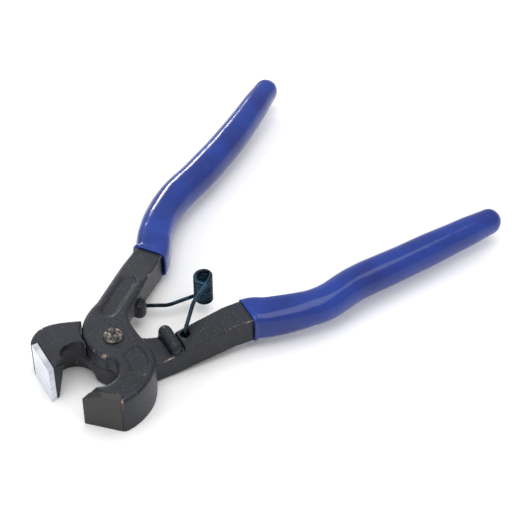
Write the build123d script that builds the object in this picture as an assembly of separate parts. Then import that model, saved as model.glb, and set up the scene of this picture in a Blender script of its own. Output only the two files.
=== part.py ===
from build123d import *
import math
import os

# Tile nippers: two forged steel levers that cross at a rivet, with carbide cutting
# tips, a coiled return spring and dipped plastic grips. Millimetres, +Z up.
# Both levers are drawn in one local frame: pivot axis on Z, mating face at z = 0, lever
# above it, handle towards +X and +Y, jaw towards -X and -Y. The front lever uses that
# frame as it is. The rear lever is turned half a turn about X, so it lies underneath.

# Levers
half_depth = 8.0         # height of the upper faces above the mating plane
foot_depth = half_depth + 2.2   # depth of the lower faces, which the tool rests on
edge_drop = 3.5          # how far the front cutting edge starts below the upper face
lap_gap = 0.1            # running gap between the two mating faces
rivet_radius = 3.5       # shank of the pivot rivet
rivet_clearance = 0.05   # radial running fit of the front lever on the rivet
edge_round = 1.4         # worn forging edge on the outer faces
neck_radius = 16.0       # the mating face ends here and the jaw grows to full depth
shoulder_gap = 1.2       # room left beside the mating lever's arm when fully open
ramp_end_radius = 25.0   # full depth is reached at this radius
arm_half_height = 5.9    # half height of the arm where it enters the grip
arm_width = 12.0         # width of the rear arm where it enters the grip
arm_rise_start = 14.0    # distance from the pivot where the arm starts to thicken
arm_rise_end = 45.0      # distance from the pivot where it has its full height
arm_seat = 3.0           # how far the square arm reaches into the grip
tang_radius = 3.0        # round steel core inside the grip
panel_depth = 0.6        # pressed recesses in the front lever's outer face
panel_length = 24.0      # long recess along the arm
panel_width = 6.4
# Stop lugs
lug_radius = 2.85        # half width of the forged rib
lug_length = 9.0         # length of the rib across the arm
pocket_margin = 1.0      # shallow pocket all round the rib
pocket_floor = -0.9      # height its floor is sunk to in the lever's own frame
# Carbide tips
tip_length = 15.6        # along the ground outer face
tip_thickness = 2.4      # behind the ground outer face
braze_gap = 0.05         # braze film round the insert
# Rivet head
head_radius = rivet_radius + 0.5
head_height = 2.2
# Grips
core_share = 0.93        # share of the handle's length that the core fills
core_clearance = 0.3     # between the steel core and the plastic
seat_clearance = 0.1     # between the square arm and the plastic
seat_taper = 0.2         # extra room beside the arm, where the path starts to bend
grip_wall = 0.9          # plastic beside the arm at the grip's mouth
grip_roof = 0.7          # plastic above and below the arm there
grip_width = arm_width + 2 * (seat_clearance + seat_taper + grip_wall)
grip_height = 2 * (arm_half_height + seat_clearance + grip_roof)
# Spring
wire_radius = 0.8
coil_radius = 3.2        # mean radius of the coil
coil_pitch = 2 * wire_radius + 0.25   # axial step of one turn
coil_x, coil_y = 46.6, -3.6      # coil axis
coil_top = 9.0           # height of the highest wire centre
upper_turns = 3.6        # turns that belong to the rear leg's half
lower_turns = 3.79       # turns that belong to the front leg's half
coil_start_angle = -74.0  # where the rear leg runs onto the coil
wire_hole_radius = 1.85  # loose enough for the leg to shift as the levers close
hook_depth = 3.1         # how far a leg's hooked end reaches into its lever

# Each spring leg: the corner of its hook, over its hole, and its bend further out
rear_leg = ((23.2, -16.1, 4.0), (34.8, -9.7, 7.0))
front_leg = ((26.8, 12.7, -4.9), (34.4, 4.7, -4.9))
front_hole = (25.95, 12.75)  # hole centre, short of the leg, which moves in as it closes

lap_z = lap_gap / 2


def front_outline():
    """Points of the front lever in its plane, named by the stretch they belong to."""
    return {
        "arm_angle": 19.6,
        "arm_outer": 14.3,
        "arm_inner": 0.9,
        "arm_inner_mouth": 2.6,
        "arm_outer_mouth": 2.2 + arm_width,
        "inner_start": 20.0,
        "mouth": 49.5,
        "outer_height": half_depth,
        "mating_depth": foot_depth,
        "fall": [(31.0, half_depth), (45.0, arm_half_height)],
        "boss": [(2.2, 16.8), (-5.3, 12.3), (-10.1, 2.1)],
        "notch": [(-9.6, -5.2), (-8.8, -11.2), (-11.6, -14.4), (-21.2, -13.8)],
        "edge": (-28.1, -11.8),
        "heel": (-20.5, -26.5),
        "back": [(-9.0, -26.9), (3.6, -19.6), (8.3, -4.6)],
        "waist": (11.0, 2.0),
        "lug": (22.9, 9.3),
        "grip": [(55.0, 32.4), (66.0, 39.2), (77.9, 43.4), (96.7, 46.2), (123.2, 52.1),
                 (156.8, 62.6)],
    }


def rear_outline():
    """The same stretches for the rear lever, whose jaw is bent towards the bite."""
    return {
        "arm_angle": 20.0,
        "arm_outer": 14.9,
        "arm_inner": 4.1,
        "arm_inner_mouth": 4.2,
        "arm_outer_mouth": 4.2 + arm_width,
        "inner_start": 25.5,
        "mouth": 53.2,
        "outer_height": foot_depth,
        "mating_depth": half_depth,
        "fall": [(13.0, foot_depth), (30.0, 7.9), (45.0, arm_half_height)],
        "boss": [(2.2, 16.8), (-5.3, 12.3), (-10.1, 2.6)],
        "notch": [(-10.2, -3.0), (-12.0, -9.0), (-16.6, -10.2), (-21.2, -4.9)],
        "edge": (-29.4, -5.1),
        "heel": (-24.2, -21.2),
        "back": [(-15.6, -23.9), (-5.2, -17.6), (5.8, -6.0)],
        "waist": (11.0, 2.0),
        "lug": (18.3, 10.0),
        "grip": [(53.1, 32.3), (65.5, 40.2), (74.8, 44.3), (91.3, 46.5), (112.1, 52.4),
                 (157.0, 64.6)],
    }


def on_arm(shape, along, across):
    """Point at a distance along the arm and across it, to the outer side."""
    turn = math.radians(shape["arm_angle"])
    x = along * math.cos(turn) - across * math.sin(turn)
    y = along * math.sin(turn) + across * math.cos(turn)
    return (x, y)


def lever_face(shape):
    """Whole outline of a lever seen along the pivot."""
    boss = shape["boss"]
    notch = shape["notch"]
    back = shape["back"]
    start = on_arm(shape, 14.0, shape["arm_outer"])
    inner = on_arm(shape, shape["inner_start"], shape["arm_inner"])
    mouth_in = on_arm(shape, shape["mouth"] + arm_seat, shape["arm_inner_mouth"])
    mouth_out = on_arm(shape, shape["mouth"] + arm_seat, shape["arm_outer_mouth"])
    with BuildSketch() as sketch:
        with BuildLine():
            Line(mouth_out, start)
            Spline(start, *boss, notch[0])
            Spline(notch[0], notch[1], notch[2], notch[3])
            Line(notch[3], shape["edge"])
            Line(shape["edge"], shape["heel"])
            Spline(shape["heel"], back[0], back[1], back[2], shape["waist"], inner)
            Line(inner, mouth_in)
            Line(mouth_in, mouth_out)
        make_face()
    return sketch.sketch


def slab(face, low, high):
    """Straight block over an outline between two heights."""
    return extrude(Pos(0, 0, low) * face, amount=high - low)


def neck_tool(depth):
    """Everything the mating lever leaves free: a ring that deepens away from the pivot."""
    reach = 60.0
    with BuildSketch(Plane.XZ) as profile:
        with BuildLine():
            Line((neck_radius, lap_z), (neck_radius, -0.6))
            Spline((neck_radius, -0.6), (20.2, -0.68 * depth), (ramp_end_radius, -depth))
            Line((ramp_end_radius, -depth), (reach, -depth))
            Line((reach, -depth), (reach, lap_z))
            Line((reach, lap_z), (neck_radius, lap_z))
        make_face()
    return revolve(profile.sketch, Axis.Z)


def jaw_lower(shape, mate):
    """Part of the jaw below the mating face, clear of the mating lever's arm."""
    quadrant = Pos(9.0, -4.0) * Rectangle(60, 60, align=(Align.MAX, Align.MAX))
    turn = mate["arm_angle"]
    limit = mate["arm_outer"] + shoulder_gap
    beside = Rot(0, 0, -turn) * Pos(0, -limit) * Rectangle(120, 60, align=(Align.CENTER,
                                                                        Align.MAX))
    left = Pos(-9.0, 0) * Rectangle(60, 90, align=(Align.MAX, Align.CENTER))
    depth = shape["mating_depth"]
    zone = slab(quadrant, -depth, lap_z) & slab(beside + left, -depth, lap_z)
    return slab(lever_face(shape), -depth, lap_z) & zone & neck_tool(depth)


def jaw_shoulder(shape, mate):
    """Part of the jaw that stays high right up to the mating lever, sloping to the bite."""
    depth = shape["mating_depth"]
    with BuildSketch(Plane.YZ) as profile:
        with BuildLine():
            Polyline((-40, lap_z), (-40, -depth), (-6.4, -depth), (-1.4, lap_z), (-40, lap_z))
        make_face()
    band = Pos(-40, 0, 0) * extrude(profile.sketch, amount=41)
    block = slab(lever_face(shape), -depth, lap_z) & band
    mating = Rot(180, 0, 0) * slab(lever_face(mate), -depth, depth + 1)
    for turn in (0, -6):
        block = block - Rot(0, 0, turn) * mating
    return max(block.solids(), key=lambda piece: piece.volume)


def notch_cone():
    """Bite notch of the rear jaw, wider towards the foot, which leaves a slender tip."""
    tall = half_depth + foot_depth + 0.4
    return Pos(-16.8, -5.5, -half_depth - 0.2) * Cone(4.2, 8.8, tall,
                                                     align=(Align.CENTER, Align.CENTER,
                                                            Align.MIN))


def edge_bevel(shape):
    """Everything above the slope from the front jaw's upper face to its cutting edge."""
    edge = Vector(*shape["edge"], half_depth - edge_drop)
    corner = Vector(*shape["notch"][3], half_depth)
    apex = edge + (Vector(*shape["heel"], half_depth) - Vector(*shape["edge"],
                                                              half_depth)) * 0.5
    apex = Vector(apex.X, apex.Y, half_depth)
    across = (apex - corner).normalized()
    normal = across.cross(edge - corner).normalized()
    if normal.Z < 0:
        normal = normal * -1
    plane = Plane(origin=(apex + corner) * 0.5, x_dir=across, z_dir=normal)
    return plane * Box(17, 17, 9, align=(Align.CENTER, Align.CENTER, Align.MIN))


def arm_lower(shape):
    """Wedge under the arm, from nothing at the lap to the height it has in the grip."""
    face = lever_face(shape)
    with BuildSketch(Plane.XZ) as profile:
        with BuildLine():
            Polyline((arm_rise_start, lap_z), (24.0, -1.9), (arm_rise_end, -arm_half_height),
                     (70, -arm_half_height), (70, lap_z), (arm_rise_start, lap_z))
        make_face()
    side = extrude(profile.sketch, amount=80, both=True)
    side = Rot(0, 0, shape["arm_angle"]) * side
    return slab(face, -half_depth, lap_z) & side


def arm_top_cut(shape):
    """Wedge that lowers the arm's outer face towards the grip."""
    fall = shape["fall"]
    first = fall[0]
    top = first[1] + 5
    with BuildSketch(Plane.XZ) as profile:
        with BuildLine():
            Polyline(*fall, (70, arm_half_height), (70, top), (first[0], top), first)
        make_face()
    side = extrude(profile.sketch, amount=80, both=True)
    side = Rot(0, 0, shape["arm_angle"]) * side
    beside = Pos(9.0, 0) * Rectangle(90, 140, align=(Align.MIN, Align.CENTER))
    return side & slab(beside, 0, top)


def handle_path(shape):
    """Centre line of the handle from the grip's mouth to the centre of its end."""
    turn = math.radians(shape["arm_angle"])
    start = on_arm(shape, shape["mouth"], grip_centre(shape))
    points = [(x, y, 0) for x, y in [start] + shape["grip"]]
    last = Vector(*points[-1]) - Vector(*points[-2])
    return Spline(*points, tangents=[(math.cos(turn), math.sin(turn), 0), tuple(last)])


def core(shape, radius, end_share):
    """Round bar along the handle's centre line, up to a share of its length."""
    path = handle_path(shape).trim(0, end_share)
    ring = Plane(origin=path @ 0, z_dir=path % 0) * Circle(radius)
    return sweep(ring, path=path)


def grip_centre(shape):
    """Middle of the arm at the grip's mouth, across the arm."""
    return (shape["arm_inner_mouth"] + shape["arm_outer_mouth"]) / 2


def lug(shape):
    """Rounded rib across the mating side of the arm, its end proud of the inner edge."""
    x, y = shape["lug"]
    turn = shape["arm_angle"] + 90
    bar = Rot(0, 90, 0) * Cylinder(lug_radius, lug_length, align=(Align.CENTER, Align.CENTER,
                                                                 Align.MIN))
    bar = bar + Sphere(lug_radius)
    bar = bar + Pos(lug_length, 0, 0) * Sphere(lug_radius)
    post = Pos(0, 0, 0) * Cylinder(lug_radius, lug_radius + 2.5,
                                   align=(Align.CENTER, Align.CENTER, Align.MIN))
    bar = bar + post
    return Pos(x, y, -lug_radius) * Rot(0, 0, turn) * bar


def pocket(shape):
    """Shallow pocket the forging leaves round the rib."""
    middle = on_arm(shape, 0, lug_length / 2)
    ring = SlotCenterToCenter(lug_length, 2 * (lug_radius + pocket_margin))
    face = Pos(*shape["lug"]) * Pos(*middle) * Rot(0, 0, shape["arm_angle"] + 90) * ring
    return slab(face, -half_depth, pocket_floor)


def tip_face(shape, gap):
    """Outline of the carbide insert, grown by a gap on its brazed sides."""
    edge = Vector(*shape["edge"])
    along = (Vector(*shape["heel"]) - edge).normalized()
    inner = (Vector(*shape["notch"][3]) - edge).normalized()
    behind = Vector(-along.Y, along.X)
    depth = tip_thickness + gap
    length = tip_length + gap
    a = edge + along * length
    b = a + behind * depth
    c = edge + inner * (depth / inner.dot(behind))
    return make_face(Polyline(tuple(edge), tuple(a), tuple(b), tuple(c),
                              tuple(edge)))


def rounded_plate(shape):
    """The lever's outer half as a plate, its outer edges rounded except at the tip."""
    plate = slab(lever_face(shape), lap_z, shape["outer_height"])
    edge = shape["edge"]
    picked = []
    for line in plate.edges().group_by(Axis.Z)[-1]:
        near_tip = min(math.dist(((line @ t).X, (line @ t).Y), edge) for t in (0, 1)) < 1
        square_end = (line @ 0.5).X > 40 and line.length < 14
        if not near_tip and not square_end:
            picked.append(line)
    return fillet(picked, edge_round)


def long_panel(shape):
    """Round-ended recess along the arm."""
    middle = on_arm(shape, 20.5, 7.7)
    face = Pos(*middle) * Rot(0, 0, shape["arm_angle"]) * SlotOverall(panel_length,
                                                                     panel_width)
    return slab(face, half_depth - panel_depth, half_depth + 1)


def neck_panel():
    """Crescent recess that follows the bend of the jaw's neck."""
    with BuildSketch() as sketch:
        with BuildLine():
            Line((-4.5, -9.6), (3.0, -9.4))
            ThreePointArc((3.0, -9.4), (1.2, -17.6), (-5.8, -23.2))
            Line((-5.8, -23.2), (-8.0, -17.8))
            ThreePointArc((-8.0, -17.8), (-5.6, -14.2), (-4.5, -9.6))
        make_face()
    face = fillet(sketch.sketch.vertices(), 0.9)
    return slab(face, half_depth - panel_depth, half_depth + 1)


def spring_hole(x, y, low, high):
    """Loose blind hole in a lever that takes the hooked end of a spring leg."""
    return Pos(x, y, low) * Cylinder(wire_hole_radius, high - low,
                                     align=(Align.CENTER, Align.CENTER, Align.MIN))


def lever(shape, mate):
    """Forged lever: lap, jaw, arm, stop lug and the round core inside the grip."""
    body = rounded_plate(shape)
    body = body + jaw_lower(shape, mate)
    body = body + arm_lower(shape)
    body = body - arm_top_cut(shape)
    body = body - pocket(shape)
    body = body + core(shape, tang_radius, core_share)
    body = body + lug(shape)
    body = body - slab(tip_face(shape, braze_gap), -foot_depth - 1, foot_depth + 1)
    body = body - Cylinder(rivet_radius + rivet_clearance, 40)
    return body


def carbide_tip(shape):
    """Brazed insert that carries the cutting edge, the full width of the jaw."""
    return slab(tip_face(shape, 0), -shape["mating_depth"], shape["outer_height"])


def pivot_rivet():
    """Rivet with a low domed head, staked with a cross, its foot flush underneath."""
    shank = Pos(0, 0, -foot_depth) * Cylinder(rivet_radius, foot_depth + half_depth + 1,
                                              align=(Align.CENTER, Align.CENTER, Align.MIN))
    base = half_depth + lap_gap
    dome_radius = (head_radius ** 2 + head_height ** 2) / (2 * head_height)
    dome = Pos(0, 0, base + head_height - dome_radius) * Sphere(dome_radius)
    above = Pos(0, 0, base) * Cylinder(head_radius, head_height,
                                       align=(Align.CENTER, Align.CENTER, Align.MIN))
    head = dome & above
    for turn in (20, 110):
        groove = Pos(0, 0, base + head_height) * Rot(0, 0, turn) * Rot(0, 90, 0)
        head = head - groove * Cylinder(0.7, 2 * head_radius)
    button = Pos(0, 0, base) * Cylinder(0.9, head_height - 0.1,
                                        align=(Align.CENTER, Align.CENTER, Align.MIN))
    return shank + head + button


def grip(shape):
    """Dipped plastic sleeve that follows the handle, closed at its far end."""
    path = handle_path(shape)
    stations = (0.0, 0.1, 0.25, 0.45, 0.7, 0.88, 1.0)
    widths = (1.0, 1.0, 1.0, 0.99, 0.93, 0.83, 0.71)
    sections = []
    for t, share in zip(stations, widths):
        width = grip_width * share
        height = min(grip_height, grip_height * share * 1.08)
        corner = min(width, height) * (0.3 + 0.19 * min(1, t * 2))
        plane = Plane(origin=path @ t, x_dir=(0, 0, 1), z_dir=path % t)
        sections.append(plane * RectangleRounded(height, width, corner))
    body = loft(sections)
    end_radius = grip_width * widths[-1] / 2 + 0.15
    body = body + Pos(path @ 0.997) * Sphere(end_radius)
    middle = on_arm(shape, shape["mouth"], grip_centre(shape))
    wide = shape["arm_outer_mouth"] - shape["arm_inner_mouth"]
    wide = wide + 2 * (seat_clearance + seat_taper)
    tall = 2 * (arm_half_height + seat_clearance)
    seat = Pos(*middle) * Rot(0, 0, shape["arm_angle"]) * Box(2 * (arm_seat + 0.2), wide, tall)
    return body - seat - core(shape, tang_radius + core_clearance, core_share + 0.01)


def helix_points(first, last):
    """Wire centres round the coil between two turn counts from its top."""
    count = round(abs(last - first) * 16)
    points = []
    for i in range(count + 1):
        turns = first + (last - first) * i / count
        angle = math.radians(coil_start_angle) + turns * 2 * math.pi
        points.append((coil_x + coil_radius * math.cos(angle),
                       coil_y + coil_radius * math.sin(angle),
                       coil_top - coil_pitch * turns))
    return points


def wire(points):
    """Round wire along a smooth path."""
    path = Spline(*points)
    return sweep(Plane(origin=path @ 0, z_dir=path % 0) * Circle(wire_radius), path=path)


def between(a, b, share):
    """Point at a share of the way from one point to another."""
    return tuple(p + (q - p) * share for p, q in zip(a, b))


def hook(corner, toward, way):
    """End of a leg that turns into its hole, from the hole out along the leg."""
    x, y, z = corner
    reach = math.hypot(toward[0] - x, toward[1] - y)
    ux = (toward[0] - x) / reach
    uy = (toward[1] - y) / reach
    rise = (toward[2] - z) / reach
    points = [(x, y, z + way * hook_depth)]
    points.append((x, y, z + way * 2.0))
    points.append((x + 0.55 * ux, y + 0.55 * uy, z + way * 0.6))
    points.append((x + 2.0 * ux, y + 2.0 * uy, z + 2.0 * rise))
    points.append((x + 4.5 * ux, y + 4.5 * uy, z + 4.5 * rise))
    return points


def spring_rear_half():
    """Leg from the rear lever and the upper turns of the coil."""
    corner, bend = rear_leg
    coil = helix_points(0, upper_turns)
    leg = hook(corner, bend, -1)
    leg = leg + [between(corner, bend, 0.93), between(bend, coil[0], 0.1),
                 between(bend, coil[0], 0.6)]
    return wire(leg + coil)


def spring_front_half():
    """Leg from the front lever and the lower turns of the coil."""
    corner, bend = front_leg
    coil = helix_points(upper_turns + 0.03, upper_turns + lower_turns)
    last = coil[-1]
    leg = [between(last, bend, 0.4), between(last, bend, 0.9), between(bend, corner, 0.1)]
    return wire(coil + leg + hook(corner, bend, 1)[::-1])


if __name__ == "__main__":
    os.makedirs("parts", exist_ok=True)
    front = front_outline()
    rear = rear_outline()
    turned = Rot(180, 0, 0)
    bevel = edge_bevel(front)
    notch = notch_cone()
    front_lever = lever(front, rear) - long_panel(front) - neck_panel() - bevel
    rear_lever = (lever(rear, front) + jaw_shoulder(rear, front)
                  - slab(tip_face(rear, braze_gap), -foot_depth - 1, foot_depth + 1)) - notch
    rear_x, rear_y, rear_z = rear_leg[0]
    nodes = {
        "front_lever": front_lever - spring_hole(*front_hole, -9.0, 0.5),
        "rear_lever": turned * rear_lever - spring_hole(rear_x, rear_y, 0.0, 9.0),
        "front_carbide_tip": carbide_tip(front) - bevel,
        "rear_carbide_tip": turned * (carbide_tip(rear) - notch),
        "pivot_rivet": pivot_rivet(),
        "front_grip": grip(front),
        "rear_grip": turned * grip(rear),
        "spring_rear_half": spring_rear_half(),
        "spring_front_half": spring_front_half(),
    }
    box = Compound(children=[Pos(0, 0, 0) * body for body in nodes.values()]).bounding_box()
    home = Pos(-(box.min.X + box.max.X) / 2, -(box.min.Y + box.max.Y) / 2, -box.min.Z)
    for name, body in nodes.items():
        export_step(home * body, f"parts/{name}.step")
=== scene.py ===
"""Looks of a pair of tile nippers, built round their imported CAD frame.

Two black forged levers cross at a staked rivet. Each carries a brazed carbide tip and a
dipped plastic grip, and one bent and coiled wire spring holds them open.
"""

import logging  # noqa: E402
import math  # noqa: E402
from dataclasses import dataclass, field  # noqa: E402
from enum import Enum  # noqa: E402
from typing import Any, Callable, Iterable, Optional, Sequence  # noqa: E402

import bmesh  # noqa: E402
import bpy  # noqa: E402
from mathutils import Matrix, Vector, noise  # noqa: E402


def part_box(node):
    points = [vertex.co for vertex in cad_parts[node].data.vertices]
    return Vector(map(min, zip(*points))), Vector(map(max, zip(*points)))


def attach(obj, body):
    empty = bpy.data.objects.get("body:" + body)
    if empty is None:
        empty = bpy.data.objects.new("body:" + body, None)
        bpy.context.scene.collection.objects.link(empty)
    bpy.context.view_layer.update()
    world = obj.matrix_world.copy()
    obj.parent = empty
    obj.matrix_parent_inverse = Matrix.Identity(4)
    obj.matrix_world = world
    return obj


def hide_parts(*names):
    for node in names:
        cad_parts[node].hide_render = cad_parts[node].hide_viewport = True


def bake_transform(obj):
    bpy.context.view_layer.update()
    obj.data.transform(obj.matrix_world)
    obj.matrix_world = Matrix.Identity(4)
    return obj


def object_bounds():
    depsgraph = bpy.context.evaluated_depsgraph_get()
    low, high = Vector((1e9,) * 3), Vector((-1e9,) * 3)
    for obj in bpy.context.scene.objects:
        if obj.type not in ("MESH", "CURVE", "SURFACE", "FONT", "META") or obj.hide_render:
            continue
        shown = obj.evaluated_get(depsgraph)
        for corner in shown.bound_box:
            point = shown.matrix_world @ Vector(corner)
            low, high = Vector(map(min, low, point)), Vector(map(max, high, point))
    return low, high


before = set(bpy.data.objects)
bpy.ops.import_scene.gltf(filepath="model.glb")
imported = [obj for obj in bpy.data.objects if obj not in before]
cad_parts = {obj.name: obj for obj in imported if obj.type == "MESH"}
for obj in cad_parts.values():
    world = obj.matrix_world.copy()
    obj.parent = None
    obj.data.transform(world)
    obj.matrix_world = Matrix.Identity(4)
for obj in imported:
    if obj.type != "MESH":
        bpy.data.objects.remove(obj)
CAD_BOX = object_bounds()

LOG = logging.getLogger("tile_nippers")
MM = 0.001


class Slot(Enum):
    """Names of the record's material slots."""

    LEVER = "forged_lever"
    RIVET = "rivet_steel"
    SPRING = "spring_wire"
    GRIP = "dipped_plastic"


class Body(Enum):
    """Rigid bodies of the frame."""

    REAR = "rear_lever_body"
    FRONT = "front_lever_body"
    COIL = "spring_coil_body"
    LEG = "spring_leg_body"


class Side(Enum):
    """Which lever a piece belongs to, with the sign of its handle's Y."""

    FRONT = 1
    REAR = -1


def box_middle(node: str) -> Vector:
    """Middle of a CAD node's box."""
    low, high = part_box(node)
    return (Vector(low) + Vector(high)) / 2


UPPER_FACE_MM = 8.0        # upper faces of the levers above the mating plane
PIVOT = box_middle("pivot_rivet")
MATING_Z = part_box("front_lever")[1][2] - UPPER_FACE_MM * MM


def at_pivot(x: float, y: float, z: float = 0.0) -> Vector:
    """Place a point given in millimetres from the pivot's axis and the mating plane.

    Args:
        x: Towards the handles.
        y: Towards the front lever's handle.
        z: Up from the mating plane.

    Returns:
        The point in the object's frame, in metres.
    """
    return Vector((PIVOT.x + x * MM, PIVOT.y + y * MM, MATING_Z + z * MM))


def linear(hex_colour: str) -> tuple[float, float, float, float]:
    """Turn an sRGB hex colour into linear RGBA.

    Args:
        hex_colour: Six hex digits, such as "2d3038".

    Returns:
        Linear red, green, blue and an alpha of one.
    """
    channels = [int(hex_colour[i:i + 2], 16) / 255 for i in (0, 2, 4)]
    lin = [c / 12.92 if c <= 0.04045 else ((c + 0.055) / 1.055) ** 2.4 for c in channels]
    return (lin[0], lin[1], lin[2], 1.0)


class NodeGraph:
    """A material and its node tree while it's being filled."""

    def __init__(self, name: str) -> None:
        """Make an empty material with that name."""
        self.material = bpy.data.materials.new(name)
        self.material.use_nodes = True
        self.tree = self.material.node_tree
        self.tree.nodes.clear()

    def add(self, kind: str, settings: Optional[dict[str, Any]] = None,
            inputs: Optional[dict[Any, Any]] = None) -> bpy.types.Node:
        """Add one node, set it up and link its inputs.

        Args:
            kind: Blender's name for the node type.
            settings: Attributes set on the node itself.
            inputs: Socket values, or output sockets to link from.

        Returns:
            The new node.
        """
        node = self.tree.nodes.new(kind)
        for key, value in (settings or {}).items():
            setattr(node, key, value)
        for key, value in (inputs or {}).items():
            if isinstance(value, bpy.types.NodeSocket):
                self.tree.links.new(value, node.inputs[key])
            else:
                node.inputs[key].default_value = value
        return node

    def ramp(self, source: bpy.types.NodeSocket,
             stops: Sequence[tuple[float, tuple[float, float, float, float]]]
             ) -> bpy.types.NodeSocket:
        """Map a value through a colour ramp.

        Args:
            source: The value.
            stops: Positions and colours, in order.

        Returns:
            The ramp's colour output.
        """
        node = self.add("ShaderNodeValToRGB", None, {"Fac": source})
        elements = node.color_ramp.elements
        elements[0].position, elements[0].color = stops[0]
        elements[1].position, elements[1].color = stops[-1]
        for position, colour in stops[1:-1]:
            elements.new(position).color = colour
        return node.outputs["Color"]

    def finish(self, shader: bpy.types.Node) -> bpy.types.Material:
        """Link the shader to the output and return the material."""
        self.add("ShaderNodeOutputMaterial", None, {"Surface": shader.outputs[0]})
        return self.material


def grey(value: float) -> tuple[float, float, float, float]:
    """Opaque grey for ramps that carry a number."""
    return (value, value, value, 1.0)


@dataclass(frozen=True)
class BlackOxideForging:
    """Drop-forged steel under a thin black oxide and oil finish.

    It gives a blue-black satin skin with a fine scale grain, tiny pale specks that are
    painted glints, and warm bare steel on the edges, partly rubbed wear and partly a
    painted highlight.
    """

    skin: str = "191e2b"
    skin_deep: str = "12141b"
    glint: str = "8f897e"
    bare_and_highlight: str = "d9b8a2"
    roughness: float = 0.36
    grain_mm: float = 0.9      # scale pits are about 0.3 mm, drawn coarser so they show
    speck_mm: float = 1.15
    wear_and_highlight: float = 0.62

    def build(self) -> bpy.types.Material:
        """Make the material."""
        graph = NodeGraph("black_oxide_drop_forged_steel")
        place = graph.add("ShaderNodeTexCoord").outputs["Object"]
        cloud = graph.add("ShaderNodeTexNoise", None, {
            "Vector": place, "Scale": 1 / (14 * MM), "Detail": 4.0, "Roughness": 0.6})
        grain = graph.add("ShaderNodeTexNoise", None, {
            "Vector": place, "Scale": 1 / (self.grain_mm * MM), "Detail": 6.0,
            "Roughness": 0.65})
        skin = graph.ramp(cloud.outputs["Fac"], [
            (0.35, linear(self.skin_deep)), (0.65, linear(self.skin))])
        # Tiny pale specks are painted glints: points of light painted into the skin's
        # colour.
        flakes = graph.add("ShaderNodeTexVoronoi", {"feature": "F1"}, {
            "Vector": place, "Scale": 1 / (self.speck_mm * MM), "Randomness": 1.0})
        specks = graph.ramp(flakes.outputs["Distance"], [
            (0.07, grey(0.7)), (0.14, grey(0.0))])
        glinting = graph.add("ShaderNodeMix", {"data_type": "RGBA"}, {
            "Factor": specks, "A": skin, "B": linear(self.glint)})
        # Convex edges turn warm bare steel and fully metallic: partly rubbed wear, partly
        # a painted highlight.
        bend = graph.add("ShaderNodeNewGeometry").outputs["Pointiness"]
        rub_and_sheen = graph.add("ShaderNodeMath", {"operation": "MULTIPLY_ADD"}, {
            0: cloud.outputs["Fac"], 1: 0.16, 2: bend})
        edge = graph.ramp(rub_and_sheen.outputs[0], [
            (self.wear_and_highlight, grey(0.0)), (self.wear_and_highlight + 0.035, grey(1.0))])
        patch = graph.add("ShaderNodeTexNoise", None, {
            "Vector": place, "Scale": 1 / (6 * MM), "Detail": 2.0})
        gate = graph.ramp(patch.outputs["Fac"], [(0.47, grey(0.0)), (0.58, grey(1.0))])
        wear_and_highlight = graph.add("ShaderNodeMath", {"operation": "MULTIPLY"}, {0: edge, 1: gate})
        colour = graph.add("ShaderNodeMix", {"data_type": "RGBA"}, {
            "Factor": wear_and_highlight.outputs[0], "A": glinting.outputs["Result"],
            "B": linear(self.bare_and_highlight)})
        rough = graph.ramp(grain.outputs["Fac"], [
            (0.3, grey(self.roughness - 0.07)), (0.7, grey(self.roughness + 0.12))])
        bump = graph.add("ShaderNodeBump", None, {
            "Height": grain.outputs["Fac"], "Strength": 0.22, "Distance": 0.12 * MM})
        shader = graph.add("ShaderNodeBsdfPrincipled", None, {
            "Base Color": colour.outputs["Result"], "Roughness": rough,
            "Metallic": wear_and_highlight.outputs[0], "Specular IOR Level": 0.34,
            "Normal": bump.outputs[0]})
        return graph.finish(shader)


@dataclass(frozen=True)
class GroundCarbide:
    """Tungsten carbide, surface ground.

    It gives a hard grey metallic face with fine grinding lines across the jaw.
    """

    name: str = "ground_tungsten_carbide"
    face: str = "e4e7ee"
    streak: str = "c6cad6"
    roughness: float = 0.16
    metallic: float = 1.0
    line_mm: float = 0.5       # grinding lines are finer, drawn coarser so they show

    def build(self) -> bpy.types.Material:
        """Make the material."""
        graph = NodeGraph(self.name)
        place = graph.add("ShaderNodeTexCoord").outputs["Object"]
        stretched = graph.add("ShaderNodeMapping", None, {
            "Vector": place, "Scale": (0.06, 0.06, 1.0)})
        lines = graph.add("ShaderNodeTexNoise", None, {
            "Vector": stretched.outputs[0], "Scale": 1 / (self.line_mm * MM),
            "Detail": 3.0})
        colour = graph.ramp(lines.outputs["Fac"], [
            (0.35, linear(self.streak)), (0.6, linear(self.face))])
        rough = graph.ramp(lines.outputs["Fac"], [
            (0.3, grey(self.roughness)), (0.7, grey(self.roughness + 0.1))])
        bump = graph.add("ShaderNodeBump", None, {
            "Height": lines.outputs["Fac"], "Strength": 0.12, "Distance": 0.05 * MM})
        shader = graph.add("ShaderNodeBsdfPrincipled", None, {
            "Base Color": colour, "Roughness": rough, "Metallic": self.metallic,
            "Normal": bump.outputs[0]})
        return graph.finish(shader)


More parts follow.
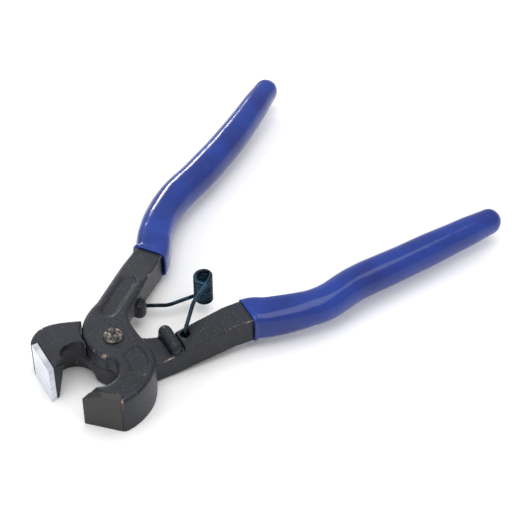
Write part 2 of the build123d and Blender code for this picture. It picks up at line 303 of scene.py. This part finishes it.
@dataclass(frozen=True)
class StakedRivetSteel:
    """Mild steel rivet, upset cold by a cross-shaped punch.

    It gives bare grey metal with oxide left in the hollows, and coppery lobes that are
    partly rubbed metal and partly a painted highlight.
    """

    bare_and_highlight: str = "a99b8e"
    oxide: str = "34363c"
    roughness: float = 0.34

    def build(self) -> bpy.types.Material:
        """Make the material."""
        graph = NodeGraph("staked_mild_steel")
        place = graph.add("ShaderNodeTexCoord").outputs["Object"]
        patch = graph.add("ShaderNodeTexNoise", None, {
            "Vector": place, "Scale": 1 / (2.2 * MM), "Detail": 4.0, "Roughness": 0.6})
        # Raised lobes turn bare and coppery: partly rubbed metal, partly a painted
        # highlight. The hollows keep their oxide.
        bend = graph.add("ShaderNodeNewGeometry").outputs["Pointiness"]
        level = graph.add("ShaderNodeMath", {"operation": "MULTIPLY_ADD"}, {
            0: patch.outputs["Fac"], 1: 0.5, 2: bend})
        mask = graph.ramp(level.outputs[0], [(0.72, grey(0.0)), (0.86, grey(1.0))])
        colour = graph.add("ShaderNodeMix", {"data_type": "RGBA"}, {
            "Factor": mask, "A": linear(self.oxide), "B": linear(self.bare_and_highlight)})
        rough = graph.ramp(patch.outputs["Fac"], [
            (0.3, grey(self.roughness)), (0.7, grey(self.roughness + 0.2))])
        bump = graph.add("ShaderNodeBump", None, {
            "Height": patch.outputs["Fac"], "Strength": 0.3, "Distance": 0.2 * MM})
        shader = graph.add("ShaderNodeBsdfPrincipled", None, {
            "Base Color": colour.outputs["Result"], "Roughness": rough,
            "Metallic": 0.9, "Normal": bump.outputs[0]})
        return graph.finish(shader)


@dataclass(frozen=True)
class BluedSpringWire:
    """Oil-tempered spring steel wire, heat blued.

    It gives a near-black wire whose gloss turns steel blue along its highlights.
    """

    dark: str = "0f1319"
    blue: str = "27475c"
    roughness: float = 0.27

    def build(self) -> bpy.types.Material:
        """Make the material."""
        graph = NodeGraph("blued_spring_steel_wire")
        place = graph.add("ShaderNodeTexCoord").outputs["Object"]
        tint = graph.add("ShaderNodeTexNoise", None, {
            "Vector": place, "Scale": 1 / (5 * MM), "Detail": 2.0})
        colour = graph.ramp(tint.outputs["Fac"], [
            (0.38, linear(self.dark)), (0.62, linear(self.blue))])
        scratch = graph.add("ShaderNodeTexNoise", None, {
            "Vector": place, "Scale": 1 / (0.4 * MM), "Detail": 3.0})
        rough = graph.ramp(scratch.outputs["Fac"], [
            (0.3, grey(self.roughness)), (0.7, grey(self.roughness + 0.12))])
        bump = graph.add("ShaderNodeBump", None, {
            "Height": scratch.outputs["Fac"], "Strength": 0.1, "Distance": 0.04 * MM})
        shader = graph.add("ShaderNodeBsdfPrincipled", None, {
            "Base Color": colour, "Roughness": rough, "Metallic": 0.85,
            "Normal": bump.outputs[0]})
        return graph.finish(shader)


@dataclass(frozen=True)
class DippedVinyl:
    """Soft PVC, dipped hot and left glossy.

    It gives a deep blue skin with wet highlights, faint runs and a slight ripple.
    """

    blue: str = "143489"
    deep: str = "0d2570"
    roughness: float = 0.13
    ripple_mm: float = 7.0

    def build(self) -> bpy.types.Material:
        """Make the material."""
        graph = NodeGraph("dipped_blue_pvc")
        place = graph.add("ShaderNodeTexCoord").outputs["Object"]
        depth = graph.add("ShaderNodeTexNoise", None, {
            "Vector": place, "Scale": 1 / (18 * MM), "Detail": 3.0})
        colour = graph.ramp(depth.outputs["Fac"], [
            (0.35, linear(self.deep)), (0.65, linear(self.blue))])
        ripple = graph.add("ShaderNodeTexNoise", None, {
            "Vector": place, "Scale": 1 / (self.ripple_mm * MM), "Detail": 1.0})
        skin = graph.add("ShaderNodeTexNoise", None, {
            "Vector": place, "Scale": 1 / (0.8 * MM), "Detail": 2.0})
        rough = graph.ramp(skin.outputs["Fac"], [
            (0.3, grey(self.roughness)), (0.7, grey(self.roughness + 0.07))])
        broad = graph.add("ShaderNodeBump", None, {
            "Height": ripple.outputs["Fac"], "Strength": 0.25, "Distance": 0.8 * MM})
        fine = graph.add("ShaderNodeBump", None, {
            "Height": skin.outputs["Fac"], "Strength": 0.06, "Distance": 0.06 * MM,
            "Normal": broad.outputs[0]})
        shader = graph.add("ShaderNodeBsdfPrincipled", None, {
            "Base Color": colour, "Roughness": rough, "IOR": 1.53,
            "Specular IOR Level": 0.32, "Coat Weight": 0.12, "Coat Roughness": 0.05,
            "Normal": fine.outputs[0]})
        return graph.finish(shader)


@dataclass(frozen=True)
class PaleTable:
    """Matt white laminate under the tool."""

    white: str = "fbfbfb"

    def build(self) -> bpy.types.Material:
        """Make the material."""
        graph = NodeGraph("matt_white_laminate")
        place = graph.add("ShaderNodeTexCoord").outputs["Object"]
        tone = graph.add("ShaderNodeTexNoise", None, {"Vector": place, "Scale": 3.0})
        colour = graph.ramp(tone.outputs["Fac"], [
            (0.3, linear("f8f8f8")), (0.7, linear(self.white))])
        shader = graph.add("ShaderNodeBsdfPrincipled", None, {
            "Base Color": colour, "Roughness": 0.75})
        return graph.finish(shader)


def new_object(name: str, mesh: bpy.types.Mesh) -> bpy.types.Object:
    """Wrap a mesh in an object in the scene.

    Args:
        name: The piece's name.
        mesh: Its mesh, in the object's frame.

    Returns:
        The linked object.
    """
    piece = bpy.data.objects.new(name, mesh)
    bpy.context.scene.collection.objects.link(piece)
    return piece


def dress(piece: bpy.types.Object, material: bpy.types.Material) -> None:
    """Give a piece its only material."""
    piece.data.materials.clear()
    piece.data.materials.append(material)


def bake_modifiers(piece: bpy.types.Object) -> None:
    """Replace a piece's mesh by what its modifiers make of it."""
    graph = bpy.context.evaluated_depsgraph_get()
    mesh = bpy.data.meshes.new_from_object(piece.evaluated_get(graph))
    piece.modifiers.clear()
    piece.data = mesh


def shade_smooth(mesh: bpy.types.Mesh) -> None:
    """Shade every face of a mesh smooth."""
    mesh.polygons.foreach_set("use_smooth", [True] * len(mesh.polygons))


def rings_to_mesh(name: str, rings: Sequence[Sequence[Vector]]) -> bpy.types.Mesh:
    """Skin closed rings of equal length into a closed tube, with fans at both ends.

    Args:
        name: The mesh's name.
        rings: Rings of points, from one end to the other.

    Returns:
        The closed mesh.
    """
    count = len(rings[0])
    points = [tuple(p) for ring in rings for p in ring]
    faces: list[tuple[int, ...]] = []
    for i in range(len(rings) - 1):
        for j in range(count):
            k = (j + 1) % count
            faces.append((i * count + j, i * count + k,
                          (i + 1) * count + k, (i + 1) * count + j))
    for ring_index, flip in ((0, True), (len(rings) - 1, False)):
        centre = sum(rings[ring_index], Vector()) / count
        points.append(tuple(centre))
        hub = len(points) - 1
        base = ring_index * count
        for j in range(count):
            k = (j + 1) % count
            faces.append((base + k, base + j, hub) if flip else (base + j, base + k, hub))
    mesh = bpy.data.meshes.new(name)
    mesh.from_pydata(points, [], faces)
    mesh.validate()
    build = bmesh.new()
    build.from_mesh(mesh)
    bmesh.ops.recalc_face_normals(build, faces=build.faces)
    build.to_mesh(mesh)
    build.free()
    shade_smooth(mesh)
    return mesh


def curve_through(points: Sequence[Vector], steps: int) -> list[Vector]:
    """Smooth curve through points, with chord-length spacing between them.

    Args:
        points: Points to pass through.
        steps: Samples between each two points.

    Returns:
        The sampled curve, both ends included.
    """
    padded = [points[0] * 2 - points[1], *points, points[-1] * 2 - points[-2]]
    out: list[Vector] = []
    for p0, p1, p2, p3 in zip(padded, padded[1:], padded[2:], padded[3:]):
        d1 = max((p1 - p0).length, 1e-9) ** 0.5
        d2 = max((p2 - p1).length, 1e-9) ** 0.5
        d3 = max((p3 - p2).length, 1e-9) ** 0.5
        m1 = (p1 - p0) / d1 - (p2 - p0) / (d1 + d2) + (p2 - p1) / d2
        m2 = (p2 - p1) / d2 - (p3 - p1) / (d2 + d3) + (p3 - p2) / d3
        for i in range(steps):
            t = i / steps
            h1 = 2 * t ** 3 - 3 * t ** 2 + 1
            h2 = t ** 3 - 2 * t ** 2 + t
            h3 = -2 * t ** 3 + 3 * t ** 2
            h4 = t ** 3 - t ** 2
            out.append(p1 * h1 + m1 * (d2 * h2) + p2 * h3 + m2 * (d2 * h4))
    out.append(points[-1].copy())
    return out


def mix(a: float, b: float, share: float) -> float:
    """Value at a share of the way between two."""
    return a + (b - a) * share


@dataclass
class Arm:
    """Square arm of a lever between its lap and its grip, in millimetres."""

    side: Side
    angle: float               # degrees from +X to the arm, before mirroring
    mouth: float               # along the arm, where the grip starts
    across: float              # middle of the arm at the mouth, to the outer side
    path: list[tuple[float, float]] = field(default_factory=list)

    def direction(self) -> Vector:
        """Unit vector along the arm towards the grip."""
        turn = math.radians(self.angle)
        return Vector((math.cos(turn), self.side.value * math.sin(turn), 0))

    def outward(self) -> Vector:
        """Unit vector across the arm to the outer side."""
        turn = math.radians(self.angle)
        return Vector((-math.sin(turn), self.side.value * math.cos(turn), 0))

    def point(self, along: float, across: float, z: float = 0.0) -> Vector:
        """Point on the arm, in the object's frame."""
        p = self.direction() * along + self.outward() * across
        return at_pivot(p.x, p.y, z)


FRONT_ARM = Arm(Side.FRONT, 19.6, 49.5, 8.4, [
    (55.0, 32.4), (66.0, 39.2), (77.9, 43.4), (96.7, 46.2), (123.2, 52.1), (156.8, 62.6)])
REAR_ARM = Arm(Side.REAR, 20.0, 53.2, 10.2, [
    (53.1, -32.3), (65.5, -40.2), (74.8, -44.3), (91.3, -46.5), (112.1, -52.4),
    (157.0, -64.6)])


@dataclass
class ForgedLever:
    """A forged lever: lap, jaw, arm and stop lug, cut off out of sight in its grip."""

    node: str
    body: Body
    arm: Arm
    voxel_mm: float = 0.32     # the forging's skin is rebuilt on this grid
    softening: int = 5         # passes that round its edges like a forging's
    hidden_mm: float = 2.0     # how far the arm runs on inside the grip

    def build(self) -> bpy.types.Object:
        """Rebuild the CAD solid's skin as one soft-edged forging.

        Returns:
            The piece that stands for the CAD node.
        """
        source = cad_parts[self.node]
        build = bmesh.new()
        build.from_mesh(source.data)
        bmesh.ops.remove_doubles(build, verts=build.verts, dist=1e-6)
        cut = self.arm.point(self.arm.mouth + self.hidden_mm, 0)
        everything = build.verts[:] + build.edges[:] + build.faces[:]
        result = bmesh.ops.bisect_plane(build, geom=everything, plane_co=cut,
                                        plane_no=self.arm.direction(), clear_outer=True)
        rim = [e for e in result["geom_cut"] if isinstance(e, bmesh.types.BMEdge)]
        bmesh.ops.contextual_create(build, geom=rim)
        mesh = bpy.data.meshes.new(f"{self.node}_forging")
        build.to_mesh(mesh)
        build.free()
        piece = new_object(f"{self.node}_forging", mesh)
        skin = piece.modifiers.new("skin", "REMESH")
        skin.mode = "VOXEL"
        skin.voxel_size = self.voxel_mm * MM
        soft = piece.modifiers.new("soft", "SMOOTH")
        soft.factor = 0.5
        soft.iterations = self.softening
        bake_modifiers(piece)
        shade_smooth(piece.data)
        return piece

    def finish(self, material: bpy.types.Material) -> bpy.types.Object:
        """Build the lever, dress it and let it ride."""
        piece = self.build()
        dress(piece, material)
        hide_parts(self.node)
        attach(piece, self.body.value)
        return piece


@dataclass
class DippedGrip:
    """Plastic sleeve dipped over a handle: a rolled lip, a swelling and a round end."""

    node: str
    body: Body
    arm: Arm
    wall_mm: float = 1.3
    lip_mm: float = 0.35       # how far the lip stands out
    lip_length_mm: float = 2.2
    inside_mm: float = 5.0     # depth of the visible inner wall
    ring_points: int = 56
    wave_mm: float = 0.16      # uneven thickness the dip leaves
    wave_per_m: float = 90.0
    mouth_squareness: float = 5.0
    end_squareness: float = 2.2
    end_rings: int = 12        # rings of the round end
    widths: tuple[float, ...] = (14.4, 14.4, 14.4, 14.2, 13.4, 12.0, 10.4)
    heights: tuple[float, ...] = (13.2, 13.2, 13.4, 13.4, 13.2, 12.4, 10.9)
    stations: tuple[float, ...] = (0.0, 0.1, 0.25, 0.45, 0.7, 0.88, 1.0)

    def spine(self) -> list[Vector]:
        """Centre line from the mouth to the centre of the round end."""
        arm = self.arm
        start = [arm.point(arm.mouth, arm.across), arm.point(arm.mouth + 3, arm.across)]
        return curve_through(start + [at_pivot(x, y) for x, y in arm.path], 16)

    def size_at(self, share: float) -> tuple[float, float]:
        """Width and height of the section at a share of the length."""
        for i in range(len(self.stations) - 1):
            a, b = self.stations[i], self.stations[i + 1]
            if share <= b:
                t = (share - a) / (b - a)
                t = t * t * (3 - 2 * t)
                return (mix(self.widths[i], self.widths[i + 1], t),
                        mix(self.heights[i], self.heights[i + 1], t))
        return self.widths[-1], self.heights[-1]

    def ring(self, centre: Vector, along: Vector, width: float, height: float,
             squareness: float) -> list[Vector]:
        """Rounded-square ring about a point.

        Args:
            centre: Middle of the ring.
            along: Direction of the handle there.
            width: Size in the plane of the handles, mm.
            height: Size along the pivot, mm.
            squareness: 2 is an ellipse, more is squarer.

        Returns:
            The ring's points.
        """
        across = Vector((-along.y, along.x, 0)).normalized()
        points = []
        for i in range(self.ring_points):
            turn = 2 * math.pi * i / self.ring_points
            c, s = math.cos(turn), math.sin(turn)
            u = math.copysign(abs(c) ** (2 / squareness), c) * width / 2 * MM
            v = math.copysign(abs(s) ** (2 / squareness), s) * height / 2 * MM
            points.append(centre + across * u + Vector((0, 0, v)))
        return points

    def build(self) -> bpy.types.Object:
        """Skin the sleeve from its inner wall, round the lip, to the closed end."""
        spine = self.spine()
        along = [(b - a).normalized() for a, b in zip(spine, spine[1:])]
        along.append(along[-1])
        length = [0.0]
        for a, b in zip(spine, spine[1:]):
            length.append(length[-1] + (b - a).length)
        total = length[-1]
        width, height = self.size_at(0)
        rings = []
        square = self.mouth_squareness
        inner = 2 * self.wall_mm
        for depth, shrink in ((self.inside_mm, inner), (0.6, inner), (0.25, inner * 0.8),
                              (0.0, inner * 0.45), (-0.1, 0.25), (0.05, -0.3),
                              (0.35, -2 * self.lip_mm)):
            centre = spine[0] + along[0] * depth * MM
            rings.append(self.ring(centre, along[0], width - shrink, height - shrink,
                                   square))
        for i, centre in enumerate(spine):
            run = length[i] / MM
            if run < 0.8:
                continue
            share = length[i] / total
            w, h = self.size_at(share)
            flare = 2 * self.lip_mm * math.exp(-((run - 0.3) / self.lip_length_mm) ** 2)
            wave = self.wave_mm * noise.noise(centre * self.wave_per_m)
            squareness = mix(4.6, 2.35, min(1.0, share * 4.5))
            rings.append(self.ring(centre, along[i], w + flare + wave, h + flare + wave,
                                   squareness))
        end, ahead = spine[-1], along[-1]
        w, h = self.size_at(1)
        for i in range(1, self.end_rings):
            turn = math.pi / 2 * i / self.end_rings
            centre = end + ahead * math.sin(turn) * w / 2 * MM
            rings.append(self.ring(centre, ahead, w * math.cos(turn), h * math.cos(turn),
                                   self.end_squareness))
        mesh = rings_to_mesh(f"{self.node}_sleeve", rings)
        return new_object(f"{self.node}_sleeve", mesh)

    def finish(self, material: bpy.types.Material) -> bpy.types.Object:
        """Build the sleeve, dress it and let it ride."""
        piece = self.build()
        dress(piece, material)
        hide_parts(self.node)
        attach(piece, self.body.value)
        return piece


@dataclass
class StakedRivet:
    """Pivot rivet with a low head punched into four lobes."""

    shank_mm: float = 3.5
    head_mm: float = 4.0
    seat_mm: float = 8.1       # underside of the head above the mating plane
    height_mm: float = 2.15
    foot_mm: float = -10.2
    spokes: int = 96
    dome_rings: int = 22

    def height(self, share: float, turn: float) -> float:
        """Height of the head's surface.

        Args:
            share: Distance from the centre as a share of the head's radius.
            turn: Angle about the pivot.

        Returns:
            Millimetres above the head's seat.
        """
        dome = self.height_mm * (1 - 0.55 * share ** 2 - 0.25 * share ** 6)
        valley = (0.5 + 0.5 * math.cos(4 * (turn - 0.35))) ** 3
        punched = 0.75 * valley * math.exp(-((share - 0.55) / 0.3) ** 2)
        pip = 0.22 * math.exp(-(share / 0.13) ** 2)
        moat = 0.3 * math.exp(-((share - 0.24) / 0.08) ** 2)
        return dome - punched + pip - moat

    def build(self) -> bpy.types.Object:
        """Skin the rivet from its flush foot up to the staked head."""
        levels: list[tuple[float, Callable[[float], float]]] = []
        foot = self.foot_mm + 0.02
        levels.append((0.7, lambda turn: foot + 0.25))
        levels.append((1.6, lambda turn: foot + 0.22))
        levels.append((2.2, lambda turn: foot))
        levels.append((self.shank_mm - 0.25, lambda turn: foot))
        levels.append((self.shank_mm, lambda turn: foot + 0.25))
        levels.append((self.shank_mm, lambda turn: self.seat_mm))
        levels.append((self.head_mm - 0.15, lambda turn: self.seat_mm))
        levels.append((self.head_mm, lambda turn: self.seat_mm + 0.15))
        for i in range(self.dome_rings):
            share = 1 - i / self.dome_rings
            radius = self.head_mm * (share if i else 0.985)
            levels.append((radius, lambda turn, s=share: self.seat_mm
                           + self.height(s, turn)))
        rings = []
        for radius, level in levels:
            ring = []
            for i in range(self.spokes):
                turn = 2 * math.pi * i / self.spokes
                ring.append(at_pivot(radius * math.cos(turn), radius * math.sin(turn),
                                     level(turn)))
            rings.append(ring)
        return new_object("pivot_rivet_staked", rings_to_mesh("pivot_rivet_staked", rings))

    def finish(self, material: bpy.types.Material) -> bpy.types.Object:
        """Build the rivet, dress it and let it ride."""
        piece = self.build()
        dress(piece, material)
        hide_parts("pivot_rivet")
        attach(piece, Body.REAR.value)
        return piece


@dataclass
class CoilSpring:
    """One wire: a leg from the rear lever, a close coil and a leg to the front lever."""

    wire_mm: float = 0.8
    coil_mm: float = 3.2
    centre: tuple[float, float] = (46.6, -3.6)
    top_mm: float = 9.0
    pitch_mm: float = 1.85
    turns: float = 7.39
    start_degrees: float = -74.0
    rear_hole: tuple[float, float, float] = (23.2, -16.1, 4.0)
    rear_bend: tuple[float, float, float] = (34.8, -9.7, 7.0)
    front_hole: tuple[float, float, float] = (26.8, 12.7, -4.9)
    front_bend: tuple[float, float, float] = (34.4, 4.7, -4.9)
    hook_mm: float = 3.0       # how far a hooked end reaches into its lever
    sides: int = 14
    steps_per_turn: int = 28
    leg_steps: int = 5         # samples between two points of a leg
    shortest_step_mm: float = 0.05

    def coil(self) -> list[Vector]:
        """Wire centres round the coil, from the top down."""
        count = int(self.turns * self.steps_per_turn)
        points = []
        for i in range(count + 1):
            turns = self.turns * i / count
            turn = math.radians(self.start_degrees) + turns * 2 * math.pi
            points.append(at_pivot(self.centre[0] + self.coil_mm * math.cos(turn),
                                   self.centre[1] + self.coil_mm * math.sin(turn),
                                   self.top_mm - self.pitch_mm * turns))
        return points

    def leg(self, hole: Vector, bend: Vector, coil_end: Vector, run: Vector,
            way: int) -> list[Vector]:
        """Points of a leg from its hooked end to the coil, with a tight bend.

        Args:
            hole: Corner of the hook, over or under its hole.
            bend: Corner of the leg.
            coil_end: Where the leg meets the coil.
            run: Direction in which the wire reaches the coil there.
            way: 1 if the hook turns up into its hole, -1 if down.

        Returns:
            Points from the hole up to, but without, the coil's end.
        """
        upright = Vector((0, 0, way * MM))
        ahead = (bend - hole).normalized() * MM
        points = [hole + upright * self.hook_mm, hole + upright * 2.0,
                  hole + upright * 0.6 + ahead * 0.55]
        points += [hole.lerp(bend, t) for t in (0.17, 0.35, 0.6, 0.82, 0.92)]
        corner = bend + ((hole - bend).normalized()
                         + (coil_end - bend).normalized()) * 0.5 * MM
        points.append(corner)
        points += [bend.lerp(coil_end, t) for t in (0.1, 0.25, 0.5, 0.75)]
        points.append(coil_end - run * 1.6 * MM)
        return points

    def path(self) -> list[Vector]:
        """Whole centre line of the wire."""
        coil = self.coil()
        first = (coil[1] - coil[0]).normalized()
        last = (coil[-2] - coil[-1]).normalized()
        rear = self.leg(at_pivot(*self.rear_hole), at_pivot(*self.rear_bend), coil[0],
                        first, -1)
        front = self.leg(at_pivot(*self.front_hole), at_pivot(*self.front_bend),
                         coil[-1], last, 1)
        steps = self.leg_steps
        overlap = 2 * steps
        rear_smooth = curve_through(rear + coil[:3], steps)[:-overlap]
        front_smooth = curve_through(coil[-3:] + front[::-1], steps)[overlap:]
        return rear_smooth + coil[1:-1] + front_smooth

    def build(self) -> bpy.types.Object:
        """Skin the wire along its centre line without twist."""
        path = self.path()
        clean = [path[0]]
        for point in path[1:]:
            if (point - clean[-1]).length > self.shortest_step_mm * MM:
                clean.append(point)
        heading = (clean[1] - clean[0]).normalized()
        side = heading.orthogonal().normalized()
        rings = []
        for i, centre in enumerate(clean):
            ahead = clean[min(i + 1, len(clean) - 1)] - clean[max(i - 1, 0)]
            ahead.normalize()
            side = (side - ahead * side.dot(ahead)).normalized()
            up = ahead.cross(side)
            ring = []
            for j in range(self.sides):
                turn = 2 * math.pi * j / self.sides
                ring.append(centre + (side * math.cos(turn) + up * math.sin(turn))
                            * self.wire_mm * MM)
            rings.append(ring)
        return new_object("spring_wire_piece", rings_to_mesh("spring_wire_piece", rings))

    def finish(self, material: bpy.types.Material) -> bpy.types.Object:
        """Build the spring, dress it and bake its place into its mesh."""
        piece = self.build()
        dress(piece, material)
        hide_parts("spring_rear_half", "spring_front_half")
        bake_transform(piece)
        return piece


@dataclass
class CarbideTips:
    """The two brazed inserts, whose CAD shapes are kept."""

    nodes: tuple[str, str] = ("front_carbide_tip", "rear_carbide_tip")

    def finish(self, materials: Iterable[bpy.types.Material]) -> list[bpy.types.Object]:
        """Dress each insert's CAD node.

        Args:
            materials: A material for the front insert, then for the rear one.

        Returns:
            The dressed nodes.
        """
        dressed = []
        for node, material in zip(self.nodes, materials):
            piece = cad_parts[node]
            for slot in piece.material_slots:
                slot.material = material
            dressed.append(piece)
        return dressed


@dataclass
class Studio:
    """Pale table, soft lights and the camera."""

    target: tuple[float, float, float] = (74.6, -10.8, 0.0)
    offset: tuple[float, float, float] = (-362.1, -330.7, 499.3)
    lens_mm: float = 116.2
    table_m: float = 6.0
    table_gap_mm: float = 0.02

    def table(self, material: bpy.types.Material) -> bpy.types.Object:
        """Lay the table just under the resting face."""
        build = bmesh.new()
        bmesh.ops.create_grid(build, x_segments=1, y_segments=1, size=self.table_m / 2)
        mesh = bpy.data.meshes.new("table_top")
        build.to_mesh(mesh)
        build.free()
        mesh.materials.append(material)
        top = new_object("table_top", mesh)
        top.location = (0, 0, CAD_BOX[0][2] - self.table_gap_mm * MM)
        return top

    def light(self, name: str, place: tuple[float, float, float], size: float,
              power: float) -> None:
        """Aim a square soft light at the tool.

        Args:
            name: The light's name.
            place: Its place in metres from the tool's middle.
            size: Edge length in metres.
            power: Power in watts.
        """
        lamp = bpy.data.lights.new(name, "AREA")
        lamp.shape = "SQUARE"
        lamp.size = size
        lamp.energy = power
        holder = bpy.data.objects.new(name, lamp)
        holder.location = place
        holder.rotation_euler = (-Vector(place)).to_track_quat("-Z", "Y").to_euler()
        bpy.context.scene.collection.objects.link(holder)

    def lights(self) -> None:
        """Set the world and the lights."""
        world = bpy.data.worlds.new("studio")
        world.use_nodes = True
        back = world.node_tree.nodes["Background"]
        back.inputs["Color"].default_value = (1.0, 1.0, 1.0, 1.0)
        back.inputs["Strength"].default_value = 0.8
        bpy.context.scene.world = world
        self.light("overhead", (0.1, -0.1, 1.7), 1.5, 15.0)
        self.light("window", (0.62, 1.15, 0.62), 0.24, 5.0)
        self.light("left", (-1.3, 0.4, 0.9), 0.35, 3.0)

    def camera(self) -> bpy.types.Object:
        """Place the camera."""
        lens = bpy.data.cameras.new("camera")
        lens.lens = self.lens_mm
        lens.sensor_width = 36.0
        lens.clip_start = 0.01
        eye = bpy.data.objects.new("camera", lens)
        target = at_pivot(*self.target)
        eye.location = target + Vector(self.offset) * MM
        eye.rotation_euler = (target - eye.location).to_track_quat("-Z", "Y").to_euler()
        bpy.context.scene.collection.objects.link(eye)
        bpy.context.scene.camera = eye
        return eye

    def build(self) -> None:
        """Set up everything round the tool."""
        self.table(PaleTable().build())
        self.lights()
        self.camera()
        view = bpy.context.scene.view_settings
        view.view_transform = "Standard"
        view.look = "None"


def report(name: str, piece: bpy.types.Object) -> None:
    """Log one finished piece."""
    LOG.info("%s: %s, %d faces", name, piece.name, len(piece.data.polygons))


def main() -> None:
    """Build and dress every piece of the tool, then the studio round it."""
    logging.basicConfig(level=logging.INFO, format="%(name)s %(message)s")
    black = BlackOxideForging().build()
    blue = DippedVinyl().build()
    for label, lever in (
            ("front lever", ForgedLever("front_lever", Body.FRONT, FRONT_ARM)),
            ("rear lever", ForgedLever("rear_lever", Body.REAR, REAR_ARM))):
        report(label, lever.finish(black))
    for label, sleeve in (("front grip", DippedGrip("front_grip", Body.FRONT, FRONT_ARM)),
                          ("rear grip", DippedGrip("rear_grip", Body.REAR, REAR_ARM))):
        report(label, sleeve.finish(blue))
    report("rivet", StakedRivet().finish(StakedRivetSteel().build()))
    report("spring", CoilSpring().finish(BluedSpringWire().build()))
    # The front insert takes a darker, duller copy of the same ground carbide: painted
    # shade, since its face catches less light. The rear insert takes the lit copy.
    shaded_carbide = GroundCarbide(name="painted_shade_tungsten_carbide", face="333131", streak="2a2828",
                         roughness=0.38, metallic=0.35)
    for piece in CarbideTips().finish([shaded_carbide.build(), GroundCarbide().build()]):
        report("carbide tip", piece)
    Studio().build()


if __name__ == "__main__":
    main()
